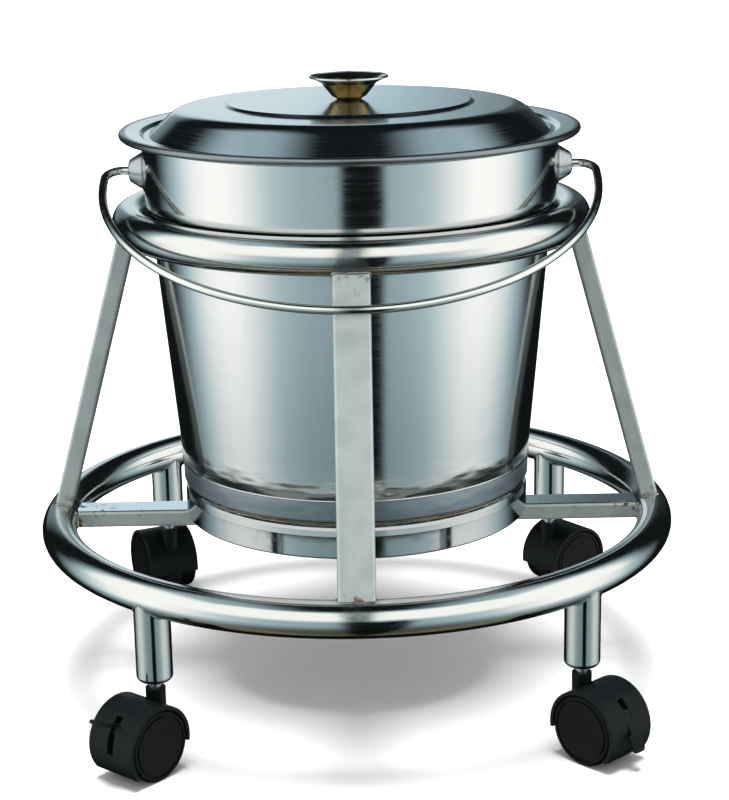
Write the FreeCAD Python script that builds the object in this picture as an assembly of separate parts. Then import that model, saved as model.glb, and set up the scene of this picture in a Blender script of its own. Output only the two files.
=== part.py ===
import FreeCAD, Part
import math
import os

V = FreeCAD.Vector
UP = V(0, 0, 1)

# A lidded waste bucket on a wheeled stand. Millimetres, +Z up, origin on the floor
# under the bucket's axis, +X to the right, front of the stand towards -Y.

# ---------------------------------------------------------------- stand sizes
ring_tube_d = 25.4         # round tube of both rings
ring_tube_wall = 1.2
lower_ring_od = 470.0      # bumper ring, outside diameter
upper_ring_fit = 1.85      # bucket's body inside the upper ring
upper_ring_drop = 8.0      # upper ring's centre below the bucket's step

bar_w = 25.0               # flat tube of the uprights and cross bars, laid flat
bar_t = 12.5
bar_wall = 1.2
bar_corner = 2.2           # outside corner radius
vent_d = 7.0               # vent holes that join the inside of a ring to its tubes

leg_d = 25.0
leg_wall = 1.5
leg_l = 60.0               # from its lower end to the ring's centre
leg_end_radius = 4.0       # spun-in lower end
leg_end_wall = 3.0
leg_end_hole_d = 9.2

# ---------------------------------------------------------------- bucket sizes
foot_seat_gap = 0.2        # bucket's foot above the cross bars
foot_d = 255.0             # pressed foot ring, outside diameter
foot_band_h = 16.5         # its upright band
foot_shoulder_h = 4.0      # its rounded shoulder, above the band
foot_shoulder_in = 0.9
foot_lip_h = 3.7           # its upright lip, above the shoulder
foot_lip_in = 1.7          # lip's outside, in from the band's
foot_hem = 5.0             # flange turned in under the band
foot_hem_bend = 1.8        # bends are inside the sheet's outer face
foot_band_bend = 0.8
foot_shoulder_bend = 3.0
foot_lip_bend = 1.5
foot_sheet = 1.2

shell_sheet = 1.0
shell_floor_drop = 8.2     # underside of the floor below the foot ring's top
shell_floor_corner = 7.0
shell_spigot_bend = 1.0
belt_l = 18.8              # plain belt above the foot ring
belt_out = 1.1             # belt stands out from the band
belt_foot_h = 3.2          # rounding at the belt's foot
belt_foot_in = 0.3
belt_foot_bend = 2.0
belt_line = 0.5            # raised line on top of the belt
belt_line_h = 1.2
body_h = 185.0             # belt to step
body_flare = 16.65         # growth in radius over that height
step_out = 2.75            # step below the neck
step_h = 4.5
step_low_bend = 4.0
step_high_bend = 2.5
neck_h = 47.2              # step to the centre of the rolled rim
neck_flare = 1.3
rim_bead_d = 5.0

# ---------------------------------------------------------------- ears and bail
ear_drop = 25.5            # bail axis below the centre of the rim
ear_flange_d = 30.6
ear_flange_t = 1.1
ear_base_d = 28.0
ear_face_d = 15.0
ear_rise = 11.6            # outer face of the ear out from the neck
ear_sheet = 1.2
ear_flange_bend = 1.5
ear_face_bend = 4.0
ear_inner_bend = 3.0

wire_d = 6.0
wire_fit = 0.3             # clearance round the wire in the ear's hole
bail_end_run = 4.4         # straight end outside the ear
bail_bend = 12.0           # bend of each end towards its ear
bail_shank = 18.4          # from the bail's axis to the big arc's centre
bail_head_d = 9.6          # upset head inside the ear
bail_head_t = 2.0
bail_head_gap = 0.8        # play between the head and the ear's face
bail_rest_gap = 5.2        # play between the wire and the upright it rests by

# ---------------------------------------------------------------- lid sizes
lid_sheet = 0.8
lid_overhang = 11.2        # edge of the lid beyond the bucket's rim
lid_edge_bead_d = 5.0
lid_edge_lift = 1.6        # edge above the flat of the flange
lid_seat_gap = 0.3         # flange above the bucket's rim
lid_trough_drop = 2.4      # locating trough below the flange
lid_trough_fit = 1.2       # trough inside the bucket's neck
lid_trough_w = 3.6
lid_trough_slope = 3.0
lid_trough_bend = 2.2
lid_flange_bend = 3.0
lid_rise = 17.2            # top of the wall above the flange
lid_wall_run = 20.5        # domed wall, foot to shoulder
lid_shoulder_drop = 1.0
lid_shoulder_bend = 20.0
lid_panel_d = 179.0        # raised panel in the middle
lid_panel_step = 1.8
lid_panel_edge = 3.0
lid_panel_bend = 2.5
lid_crown = 0.7            # camber of the panel
lid_flat_d = 50.0          # flat seat of the knob

knob_foot_d = 17.0
knob_bowl_d = 25.0         # foot of the cone
knob_bowl_h = 2.4
knob_cone_d = 40.0
knob_cone_h = 9.2          # cone above its foot
knob_rim_d = 57.0
knob_flare_h = 3.9         # flared brim above the cone
knob_rim_bead_d = 1.8
knob_foot_bend = 2.0
knob_bowl_bend = 3.0
knob_cone_bend = 5.0
knob_sheet = 1.0
screw_d = 5.0
screw_fit = 0.3
screw_head_d = 10.0
screw_head_h = 2.8
screw_head_bend = 1.4
screw_tail = 2.4           # thread left showing below the nut
screw_tip = 0.6            # chamfer
socket_across = 3.0        # hexagon socket in the screw's head
socket_depth = 1.8
washer_d = 14.0
washer_t = 1.2
nut_across = 8.0
nut_h = 4.0

# ---------------------------------------------------------------- castor sizes
wheel_d = 50.0
wheel_w = 12.6
wheel_edge = 2.2           # rounding of the tread's edges
wheel_face_rim = 3.3       # rim outside the groove on the outer face
wheel_groove_w = 1.2
wheel_groove_depth = 0.9
wheel_hub_d = 14.0
wheel_side_gap = 0.35      # wheel to web
wheel_rim_t = 4.0          # rim around the hollow of the inner face
wheel_disc_t = 5.1         # disc left beyond that hollow
axle_d = 6.0
axle_fit = 0.08
axle_bore_wall = 3.6       # left at the end of each wheel's blind bore
axle_end_gap = 0.3
trail = 17.0               # axle behind the swivel axis
web_w = 14.4               # middle web of the hood, between the wheels
web_front = 55.0           # web's front end below the axle, degrees
hood_gap = 1.0             # hood over the tread
hood_wall = 1.9
hood_front = 10.0          # ends of the guard below the axle, degrees
hood_back = 39.0
hood_lip_w = 1.4           # lip of the guard beside the wheel's outer edge
hood_lip_t = 0.7
neck_od = 13.6
neck_rise = 4.7            # neck above the guard
stem_show = 5.4            # from the neck to the leg
stem_d = 8.0
stem_fit = 0.1             # all round, in the leg's socket
stem_collar_d = 12.0
stem_collar_gap = 0.3      # collar below the leg
stem_collar_t = 2.0
stem_bite = 22.0           # stem inside the neck
stem_top_gap = 8.3         # stem's top below the ring
stem_groove_d = 6.6        # groove of the grip ring
stem_groove_w = 2.0
stem_groove_drop = 6.0
stem_tip = 1.0
socket_over = 2.0          # socket above the stem's top
socket_bead_t = 3.2        # bead at each end of the socket
socket_wall = 4.8          # wall of its waist, over the bore

# ---------------------------------------------------------------- brake sizes
brake_slot_w = 5.6
brake_slot_top = 54.0      # ends of the slot, degrees above and below the axle
brake_slot_bottom = 2.0
brake_slot_floor = 13.0    # how near the slot comes to the axle
brake_pivot_r = 21.5       # trunnions from the axle
brake_pivot_angle = 32.0   # degrees above the axle
brake_up_angle = 24.0      # slope of the free pedal, degrees above level
brake_throw = 86.0         # swing of the pedal from up to down, degrees
trunnion_d = 3.4
trunnion_fit = 0.1
trunnion_bite = 1.8        # reach of each trunnion into the web
brake_fit = 0.3            # lever inside the slot, each side
brake_arm_start = -2.6     # back edge of the arm, behind the trunnions
brake_blade_rise = 3.9     # underside of the blade above the trunnions
brake_blade_t = 2.2
brake_pedal_start = 14.0   # wide end of the blade, from the trunnions
brake_pedal_end = 27.0
brake_pedal_w = 11.0
brake_pedal_corner = 3.0
brake_cam_r = 4.4
brake_web_l = 6.5          # arm between the trunnions and the blade
brake_rib_pitch = 1.7
brake_rib_h = 0.5
brake_ribs = 5

# Castor corners: leg's azimuth and direction of trail, degrees from +X towards +Y.
# The brake is "up" (free), "down" (locked) or None where the castor has no brake.
corners = {
    "front_left": {"azimuth": 231.5, "heading": 230.5, "brake": "up"},
    "front_right": {"azimuth": 313.5, "heading": 312.5, "brake": "down"},
    "back_right": {"azimuth": 44.0, "heading": 38.0, "brake": None},
    "back_left": {"azimuth": 135.5, "heading": 115.5, "brake": None},
}

# ---------------------------------------------------------------- derived places
axle_z = wheel_d / 2
guard_in_r = wheel_d / 2 + hood_gap
guard_r = guard_in_r + hood_wall
castor_w = web_w + 2 * (wheel_side_gap + wheel_w)
neck_top_z = axle_z + guard_r + neck_rise
leg_bottom_z = neck_top_z + stem_show
lower_ring_z = leg_bottom_z + leg_l
lower_ring_r = (lower_ring_od - ring_tube_d) / 2
stem_top_z = lower_ring_z - ring_tube_d / 2 - stem_top_gap

# heights above the bucket's foot
foot_z = lower_ring_z + bar_t / 2 + foot_seat_gap
foot_top = foot_band_h + foot_shoulder_h + foot_lip_h
belt_top = foot_top + belt_l
step_bottom = belt_top + body_h
step_top = step_bottom + step_h
rim_at = step_top + neck_h
ear_at = rim_at - ear_drop
flange_top = rim_at + rim_bead_d / 2 + lid_seat_gap + lid_sheet
panel_top = flange_top + lid_rise + lid_panel_step + lid_crown
bail_z = foot_z + ear_at

foot_r = foot_d / 2
spigot_r = foot_r - foot_lip_in - foot_sheet
belt_r = foot_r + belt_out
body_r = belt_r + body_flare
neck_r = body_r + step_out
rim_neck_r = neck_r + neck_flare
rim_centre_r = rim_neck_r + (rim_bead_d - shell_sheet) / 2
ear_reach = neck_r + ear_rise
bail_half_width = ear_reach + bail_end_run + bail_bend
lid_r = rim_centre_r + rim_bead_d / 2 + lid_overhang
upper_ring_r = body_r + upper_ring_fit + ring_tube_d / 2
upper_ring_z = foot_z + step_bottom - upper_ring_drop


# ---------------------------------------------------------------- shared shapes
def outline(points):
    """Open wire through (radius, height, corner radius) points in the XZ plane."""
    corner = [V(r, 0, h) for r, h, bend in points]
    edges = []
    start = corner[0]
    for i in range(1, len(points) - 1):
        bend = points[i][2]
        if bend == 0:
            edges.append(Part.LineSegment(start, corner[i]).toShape())
            start = corner[i]
            continue
        back = (corner[i - 1] - corner[i]).normalize()
        ahead = (corner[i + 1] - corner[i]).normalize()
        half = back.getAngle(ahead) / 2
        reach = bend / math.tan(half)
        middle = (back + ahead).normalize() * (bend / math.sin(half) - bend)
        first = corner[i] + back * reach
        last = corner[i] + ahead * reach
        edges.append(Part.LineSegment(start, first).toShape())
        edges.append(Part.Arc(first, corner[i] + middle, last).toShape())
        start = last
    edges.append(Part.LineSegment(start, corner[-1]).toShape())
    return Part.Wire(edges)


def spun(points):
    """Solid of revolution about Z of the closed outline through the points."""
    wire = outline(points + [points[0]])
    return Part.Face(wire).revolve(V(0, 0, 0), UP, 360)


def spun_sheet(points, thickness):
    """Sheet spun about Z: the outline is one face, a positive thickness goes inward."""
    section = outline(points).makeOffset2D(thickness, 0, True, True, False)
    return section.revolve(V(0, 0, 0), UP, 360)


def tube_ring(centre_r, tube_r, z):
    return Part.makeTorus(centre_r, tube_r, V(0, 0, z))


def flat_tube(length):
    """Rectangular tube along Z, wide side across X, with rounded outer corners."""
    outer = Part.makeBox(bar_w, bar_t, length, V(-bar_w / 2, -bar_t / 2, 0))
    long_edges = [e for e in outer.Edges if e.Length > length - bar_corner]
    outer = outer.makeFillet(bar_corner, long_edges)
    in_w = bar_w - 2 * bar_wall
    in_t = bar_t - 2 * bar_wall
    return outer.cut(Part.makeBox(in_w, in_t, length, V(-in_w / 2, -in_t / 2, 0)))


def laid(shape, start, along, wide):
    """Place a shape built along Z so that it runs from start, wide side across."""
    turn = FreeCAD.Rotation(wide, along.cross(wide), along, "ZXY")
    moved = shape.copy()
    moved.Placement = FreeCAD.Placement(start, turn)
    return moved


def spoke(angle):
    return V(math.cos(math.radians(angle)), math.sin(math.radians(angle)), 0)


def turned(shape, angle, centre=V(0, 0, 0), axis=UP):
    moved = shape.copy()
    moved.rotate(centre, axis, angle)
    return moved


nodes = {}


# ---------------------------------------------------------------- stand
def ring(centre_r, z, vents):
    """Round tube bent into a ring, vented into the tubes that are welded to it."""
    outer = tube_ring(centre_r, ring_tube_d / 2, z)
    bore = tube_ring(centre_r, ring_tube_d / 2 - ring_tube_wall, z)
    shape = outer.cut(bore)
    for angle, direction in vents:
        middle = spoke(angle) * centre_r + UP * z
        shape = shape.cut(Part.makeCylinder(vent_d / 2, ring_tube_d, middle, direction))
    return shape


def upright(angle, lower_solid, upper_solid):
    foot = spoke(angle) * lower_ring_r + UP * lower_ring_z
    head = spoke(angle) * upper_ring_r + UP * upper_ring_z
    along = (head - foot).normalize()
    across = UP.cross(spoke(angle)).normalize()
    tube = laid(flat_tube((head - foot).Length), foot, along, across)
    return tube.cut(lower_solid).cut(upper_solid)


def cross_bar(start, end, lower_solid):
    along = (end - start).normalize()
    bar = laid(flat_tube((end - start).Length), start, along, UP.cross(along))
    return bar.cut(lower_solid)


def leg(place, lower_solid):
    """Round tube with a spun-in lower end, coped to the underside of the ring."""
    radius = leg_d / 2
    bore = radius - leg_wall
    section = [
        (leg_end_hole_d / 2, 0, 0),
        (radius, 0, leg_end_radius),
        (radius, leg_l, 0),
        (bore, leg_l, 0),
        (bore, leg_end_wall, 0),
        (leg_end_hole_d / 2, leg_end_wall, 0),
    ]
    tube = spun(section)
    tube.translate(place + UP * leg_bottom_z)
    return tube.cut(lower_solid)


def leg_socket(place):
    """Sleeve pressed into the leg: a bead at each end and a thinner waist."""
    outer = leg_d / 2 - leg_wall
    bore = stem_d / 2 + stem_fit
    base = place + UP * (leg_bottom_z + leg_end_wall)
    length = stem_top_z + socket_over - base.z
    sleeve = Part.makeCylinder(outer, length, base)
    middle = base + UP * socket_bead_t
    relief = Part.makeCylinder(outer, length - 2 * socket_bead_t, middle)
    sleeve = sleeve.cut(relief.cut(Part.makeCylinder(bore + socket_wall, length, base)))
    return sleeve.cut(Part.makeCylinder(bore, length, base))


lower_solid = tube_ring(lower_ring_r, ring_tube_d / 2, lower_ring_z)
upper_solid = tube_ring(upper_ring_r, ring_tube_d / 2, upper_ring_z)
sides = {"right": 0, "back": 90, "left": 180, "front": 270}

lower_vents = [(corner["azimuth"], -UP) for corner in corners.values()]
upper_vents = [(angle, -UP) for angle in sides.values()]
nodes["lower_ring"] = ring(lower_ring_r, lower_ring_z, lower_vents)
nodes["upper_ring"] = ring(upper_ring_r, upper_ring_z, upper_vents)
for side, angle in sides.items():
    nodes["upright_" + side] = upright(angle, lower_solid, upper_solid)

ring_level = UP * lower_ring_z
long_bar = (V(-lower_ring_r, 0, 0) + ring_level, V(lower_ring_r, 0, 0) + ring_level)
nodes["cross_bar_long"] = cross_bar(long_bar[0], long_bar[1], lower_solid)
for side in ("front", "back"):
    out = spoke(sides[side])
    inner_end = out * (bar_w / 2) + ring_level
    outer_end = out * lower_ring_r + ring_level
    nodes["cross_bar_" + side] = cross_bar(inner_end, outer_end, lower_solid)

for name, corner in corners.items():
    place = spoke(corner["azimuth"]) * lower_ring_r
    nodes["leg_" + name] = leg(place, lower_solid)
    nodes["leg_socket_" + name] = leg_socket(place)


# ---------------------------------------------------------------- bucket
shell_outline = [
    (0, foot_top - shell_floor_drop, 0),
    (spigot_r, foot_top - shell_floor_drop, shell_floor_corner),
    (spigot_r, foot_top + belt_foot_h / 2, shell_spigot_bend),
    (belt_r - belt_foot_in, foot_top + belt_foot_h, belt_foot_bend),
    (belt_r, belt_top - belt_line_h, 0),
    (belt_r + belt_line, belt_top - belt_line_h / 2, 0),
    (belt_r, belt_top, 0),
    (body_r, step_bottom, step_low_bend),
    (neck_r, step_top, step_high_bend),
    (rim_neck_r, rim_at, 0),
]


def bucket_shell():
    """Spun pail: flat floor, tapered body, stepped neck and rolled rim."""
    pail = spun_sheet(shell_outline, shell_sheet)
    return pail.fuse(tube_ring(rim_centre_r, rim_bead_d / 2, rim_at))


def foot_skirt():
    """Pressed foot ring: it grips the shell above and turns in under the band."""
    section = [
        (foot_r - foot_hem, 0, 0),
        (foot_r, 0, foot_hem_bend),
        (foot_r, foot_band_h, foot_band_bend),
        (foot_r - foot_shoulder_in, foot_band_h + foot_shoulder_h, foot_shoulder_bend),
        (foot_r - foot_lip_in, foot_top - foot_lip_h / 2, foot_lip_bend),
        (foot_r - foot_lip_in, foot_top, 0),
    ]
    return spun_sheet(section, foot_sheet)


shell_solid = Part.Face(outline(shell_outline + [(0, rim_at, 0), shell_outline[0]]))
shell_solid = shell_solid.revolve(V(0, 0, 0), UP, 360)


def ear(side):
    """Domed cup with a flange that follows the neck and a hole for the wire."""
    root = body_r
    reach = ear_reach - root
    flange = neck_r + ear_flange_t - root
    outside = [
        (0, 0, 0),
        (ear_flange_d / 2, 0, 0),
        (ear_flange_d / 2, flange, 0),
        (ear_base_d / 2, flange, ear_flange_bend),
        (ear_face_d / 2, reach, ear_face_bend),
        (0, reach, 0),
    ]
    inside = [
        (0, 0, 0),
        (ear_base_d / 2 - ear_sheet, 0, 0),
        (ear_base_d / 2 - ear_sheet, flange, 0),
        (ear_face_d / 2 - ear_sheet / 2, reach - ear_sheet, ear_inner_bend),
        (0, reach - ear_sheet, 0),
    ]
    hole = Part.makeCylinder(wire_d / 2 + wire_fit, reach + ear_sheet)
    cup = spun(outside).cut(spun(inside)).cut(hole)
    cup = laid(cup, V(root * side, 0, ear_at), V(side, 0, 0), V(0, 1, 0))
    return cup.cut(shell_solid)


for name, shape in (
    ("bucket_shell", bucket_shell()),
    ("foot_skirt", foot_skirt()),
    ("ear_left", ear(-1)),
    ("ear_right", ear(1)),
):
    shape.translate(UP * foot_z)
    nodes[name] = shape


# ---------------------------------------------------------------- bail
def bail_rest_angle():
    """Drop of the bail below level, lying on the outer face of the front upright."""
    rise = upper_ring_z - lower_ring_z
    lean = lower_ring_r - upper_ring_r
    face_normal = V(0, -rise, lean).normalize()
    face_point = V(0, -upper_ring_r, upper_ring_z) + face_normal * (bar_t / 2)
    level = face_normal.dot(V(0, 0, bail_z) - face_point)
    half_upright = bar_w / 2
    reach = bail_shank + math.sqrt(bail_half_width ** 2 - half_upright ** 2)
    lift = (wire_d / 2 + bail_rest_gap - level) / reach
    normal_slope = math.atan2(face_normal.z, -face_normal.y)
    return math.degrees(math.acos(lift) - normal_slope)


def bail_wire():
    """Wire along two ends in the ears, two bends, two shanks and one big arc."""
    inner = ear_reach - ear_sheet - bail_head_gap
    bend_x = bail_half_width - bail_bend
    diagonal = bail_bend * math.sqrt(0.5)
    tip = V(inner, 0, 0)
    bend_start = V(bend_x, 0, 0)
    bend_middle = V(bend_x + diagonal, -bail_bend + diagonal, 0)
    bend_end = V(bail_half_width, -bail_bend, 0)
    arc_start = V(bail_half_width, -bail_shank, 0)
    arc_middle = V(0, -bail_shank - bail_half_width, 0)

    def mirrored(point):
        return V(-point.x, point.y, 0)

    path = Part.Wire([
        Part.LineSegment(tip, bend_start).toShape(),
        Part.Arc(bend_start, bend_middle, bend_end).toShape(),
        Part.LineSegment(bend_end, arc_start).toShape(),
        Part.Arc(arc_start, arc_middle, mirrored(arc_start)).toShape(),
        Part.LineSegment(mirrored(arc_start), mirrored(bend_end)).toShape(),
        Part.Arc(mirrored(bend_end), mirrored(bend_middle), mirrored(bend_start)).toShape(),
        Part.LineSegment(mirrored(bend_start), mirrored(tip)).toShape(),
    ])
    circle = Part.Wire(Part.Circle(tip, V(1, 0, 0), wire_d / 2).toShape())
    wire = path.makePipeShell([circle], True, False)
    for side in (-1, 1):
        head = Part.makeCylinder(bail_head_d / 2, bail_head_t,
                                 V(side * inner, 0, 0), V(-side, 0, 0))
        wire = wire.fuse(head)
    wire = turned(wire, bail_rest_angle(), axis=V(1, 0, 0))
    wire.translate(UP * bail_z)
    return wire


nodes["bail_wire"] = bail_wire()


# ---------------------------------------------------------------- lid
def lid_shell():
    """Pressed lid: raised panel, domed wall, locating trough and rolled edge."""
    trough_r = rim_neck_r - shell_sheet - lid_trough_fit
    wall_r = trough_r - lid_trough_w
    edge_r = lid_r - lid_edge_bead_d / 2
    edge_top = flange_top + lid_edge_lift
    trough = flange_top - lid_trough_drop
    panel_r = lid_panel_d / 2
    wall_top = flange_top + lid_rise
    section = [
        (0, panel_top, 0),
        (lid_flat_d / 2, panel_top, 0),
        (panel_r - lid_panel_edge, panel_top - lid_crown, lid_panel_bend),
        (panel_r, wall_top, lid_panel_bend),
        (wall_r - lid_wall_run, wall_top - lid_shoulder_drop, lid_shoulder_bend),
        (wall_r, trough, lid_trough_bend),
        (trough_r, trough, lid_trough_bend),
        (trough_r + lid_trough_slope, flange_top, lid_flange_bend),
        (edge_r, edge_top, 0),
    ]
    sheet = spun_sheet(section, -lid_sheet)
    edge = tube_ring(edge_r, lid_edge_bead_d / 2, edge_top - lid_edge_bead_d / 2)
    hole = Part.makeCylinder((screw_d + screw_fit) / 2, panel_top)
    return sheet.fuse(edge).cut(hole)


def lid_knob():
    """Funnel-shaped pressed cup with a flared, rolled rim and a hole in its floor."""
    brim_r = (knob_rim_d - knob_rim_bead_d) / 2
    cone_top = knob_bowl_h + knob_cone_h
    brim = cone_top + knob_flare_h
    section = [
        (0, 0, 0),
        (knob_foot_d / 2, 0, knob_foot_bend),
        (knob_bowl_d / 2, knob_bowl_h, knob_bowl_bend),
        (knob_cone_d / 2, cone_top, knob_cone_bend),
        (brim_r, brim, 0),
    ]
    cup = spun_sheet(section, knob_sheet)
    cup = cup.fuse(tube_ring(brim_r, knob_rim_bead_d / 2, brim + knob_sheet / 2))
    return cup.cut(Part.makeCylinder((screw_d + screw_fit) / 2, knob_sheet))


def hexagon(across, height):
    corner_r = across / math.sqrt(3)
    points = [spoke(60 * i) * corner_r for i in range(7)]
    return Part.Face(Part.makePolygon(points)).extrude(UP * height)


def knob_screw():
    """Socket screw: its head stands on the floor of the knob, its tail in the nut."""
    length = knob_sheet + lid_sheet + washer_t + nut_h + screw_tail
    section = [
        (0, -length, 0),
        (screw_d / 2 - screw_tip, -length, 0),
        (screw_d / 2, screw_tip - length, 0),
        (screw_d / 2, 0, 0),
        (screw_head_d / 2, 0, 0),
        (screw_head_d / 2, screw_head_h, screw_head_bend),
        (0, screw_head_h, 0),
    ]
    recess = hexagon(socket_across, socket_depth)
    recess.translate(UP * (screw_head_h - socket_depth))
    return spun(section).cut(recess)


def pierced(shape, height):
    return shape.cut(Part.makeCylinder(screw_d / 2, height))


washer = pierced(Part.makeCylinder(washer_d / 2, washer_t), washer_t)
for name, shape, h in (
    ("lid_shell", lid_shell(), 0),
    ("lid_knob", lid_knob(), panel_top),
    ("knob_screw", knob_screw(), panel_top + knob_sheet),
    ("knob_washer", washer, panel_top - lid_sheet - washer_t),
    ("knob_nut", pierced(hexagon(nut_across, nut_h), nut_h),
     panel_top - lid_sheet - washer_t - nut_h),
):
    shape.translate(UP * (foot_z + h))
    nodes[name] = shape


# ---------------------------------------------------------------- castors
# Each castor is built with its swivel axis at the origin, its axle along X and its
# trail towards +Y, the back, and then turned and moved to its leg.
axle_place = V(0, trail, axle_z)


def across(radius, width, centre=axle_place):
    """Cylinder along X, centred on the castor's middle plane."""
    return Part.makeCylinder(radius, width, centre - V(width / 2, 0, 0), V(1, 0, 0))


def trail_sector(low, high, width):
    """Wedge about the axle between two angles, measured from +Y upwards."""
    points = [axle_place]
    steps = 6
    for i in range(steps + 1):
        angle = math.radians(low + (high - low) * i / steps)
        points.append(axle_place + V(0, math.cos(angle), math.sin(angle)) * 2 * guard_r)
    face = Part.Face(Part.makePolygon(points + [axle_place]))
    face.translate(V(-width / 2, 0, 0))
    return face.extrude(V(width, 0, 0))


def hood(brake):
    """Moulded body: middle web, neck for the stem and a guard over both wheels."""
    front = 180 + hood_front
    guard = across(guard_r, castor_w).cut(across(guard_in_r, castor_w))
    lips = across(guard_in_r, castor_w).cut(across(guard_in_r, castor_w - 2 * hood_lip_w))
    lips = lips.cut(across(guard_in_r - hood_lip_t, castor_w))
    guard = guard.fuse(lips).common(trail_sector(-hood_back, front, castor_w))
    web = across(guard_in_r, web_w)
    web = web.common(trail_sector(-hood_back, 180 + web_front, web_w))
    web = web.fuse(across(wheel_hub_d / 2, web_w))
    neck = Part.makeCylinder(neck_od / 2, neck_top_z - axle_z, V(0, 0, axle_z))
    body = guard.fuse(web).fuse(neck)
    body = body.cut(across(axle_d / 2, web_w))
    stem_hole = V(0, 0, neck_top_z - stem_bite)
    body = body.cut(Part.makeCylinder(stem_d / 2, stem_bite, stem_hole))
    if brake:
        slot = trail_sector(-brake_slot_bottom, brake_slot_top, brake_slot_w)
        body = body.cut(slot.cut(across(brake_slot_floor, brake_slot_w)))
        seat_w = brake_slot_w + 2 * (trunnion_bite + trunnion_fit)
        body = body.cut(across(trunnion_d / 2 + trunnion_fit, seat_w, brake_pivot()))
    return body


def stem():
    """Steel pin: collar under the leg, grip ring's groove near the top."""
    bottom = neck_top_z - stem_bite
    collar_top = leg_bottom_z - stem_collar_gap
    collar = collar_top - stem_collar_t
    groove = stem_top_z - stem_groove_drop
    r = stem_d / 2
    return spun([
        (0, bottom, 0),
        (r, bottom, 0),
        (r, collar, 0),
        (stem_collar_d / 2, collar, 0),
        (stem_collar_d / 2, collar_top, 0),
        (r, collar_top, 0),
        (r, groove - stem_groove_w, 0),
        (stem_groove_d / 2, groove - stem_groove_w, 0),
        (stem_groove_d / 2, groove, 0),
        (r, groove, 0),
        (r, stem_top_z - stem_tip, 0),
        (r - stem_tip, stem_top_z, 0),
        (0, stem_top_z, 0),
    ])


def wheel():
    """Nylon wheel about Z, outer face at the top: disc, groove and hollow back."""
    r = wheel_d / 2
    bore = axle_d / 2 + axle_fit
    bore_end = wheel_w - axle_bore_wall
    groove_out = r - wheel_face_rim
    groove_in = groove_out - wheel_groove_w
    groove_floor = wheel_w - wheel_groove_depth
    hollow = wheel_w - wheel_disc_t
    return spun([
        (0, bore_end, 0),
        (bore, bore_end, 0),
        (bore, 0, 0),
        (wheel_hub_d / 2, 0, 0),
        (wheel_hub_d / 2, hollow, 0),
        (r - wheel_rim_t, hollow, 0),
        (r - wheel_rim_t, 0, 0),
        (r, 0, wheel_edge),
        (r, wheel_w, wheel_edge),
        (groove_out, wheel_w, 0),
        (groove_out, groove_floor, 0),
        (groove_in, groove_floor, 0),
        (groove_in, wheel_w, 0),
        (0, wheel_w, 0),
    ])


def brake_pivot():
    angle = math.radians(brake_pivot_angle)
    return axle_place + V(0, math.cos(angle), math.sin(angle)) * brake_pivot_r


def brake_lever(position):
    """Moulded pedal on two trunnions: cam, cranked arm and ribbed blade."""
    arm_w = brake_slot_w - 2 * brake_fit
    blade_top = brake_blade_rise + brake_blade_t
    arm_end = brake_arm_start + brake_web_l
    arm = Part.makeBox(arm_w, brake_web_l, blade_top, V(-arm_w / 2, brake_arm_start, 0))
    blade = Part.makeBox(arm_w, brake_pedal_end - arm_end, brake_blade_t,
                         V(-arm_w / 2, arm_end, brake_blade_rise))
    pedal_l = brake_pedal_end - brake_pedal_start
    pedal = Part.makeBox(brake_pedal_w, pedal_l, brake_blade_t,
                         V(-brake_pedal_w / 2, brake_pedal_start, brake_blade_rise))
    upright_edges = [e for e in pedal.Edges if e.BoundBox.ZLength > brake_blade_t / 2]
    pedal = pedal.makeFillet(brake_pedal_corner, upright_edges)
    lever = arm.fuse(blade).fuse(pedal).fuse(across(brake_cam_r, arm_w, V(0, 0, 0)))
    for i in range(brake_ribs):
        place = V(0, brake_pedal_end - brake_pedal_corner - i * brake_rib_pitch, blade_top)
        lever = lever.fuse(across(brake_rib_h, brake_pedal_w - brake_pedal_corner, place))
    trunnions = across(trunnion_d / 2, brake_slot_w + 2 * trunnion_bite, V(0, 0, 0))
    lever = lever.fuse(trunnions)
    slope = brake_up_angle if position == "up" else brake_up_angle - brake_throw
    lever = turned(lever, slope, axis=V(1, 0, 0))
    lever.translate(brake_pivot())
    return lever


hub_out = web_w / 2 + wheel_side_gap
castor = {
    "hood": hood(False),
    "stem": stem(),
    "axle": across(axle_d / 2, 2 * (hub_out + wheel_w - axle_bore_wall - axle_end_gap)),
    "wheel_right": laid(wheel(), axle_place + V(hub_out, 0, 0), V(1, 0, 0), V(0, 1, 0)),
    "wheel_left": laid(wheel(), axle_place - V(hub_out, 0, 0), V(-1, 0, 0), V(0, 1, 0)),
}
braked_hood = hood(True)
for name, corner in corners.items():
    pieces = dict(castor)
    if corner["brake"]:
        pieces["hood"] = braked_hood
        pieces["brake_lever"] = brake_lever(corner["brake"])
    for piece, shape in pieces.items():
        moved = turned(shape, corner["heading"] - sides["back"])
        moved.translate(spoke(corner["azimuth"]) * lower_ring_r)
        nodes["castor_" + name + "_" + piece] = moved

# ---------------------------------------------------------------- output
os.makedirs("parts", exist_ok=True)
for name, shape in nodes.items():
    shape.exportStep("parts/" + name + ".step")
    print(name, len(shape.Solids), round(shape.Volume), shape.isValid())
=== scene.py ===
# %% [markdown]
# # A lidded bucket on a wheeled stand
# The model comes as a frame of plain solids in metres. It stands on the floor with the
# bucket's axis at the origin and its front towards -Y. What is spun, bent or turned on the
# real object is made again here as a smooth surface, because polished steel shows every
# facet. Flat bars, moulded castor bodies and small hidden pieces keep their solids.

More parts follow.
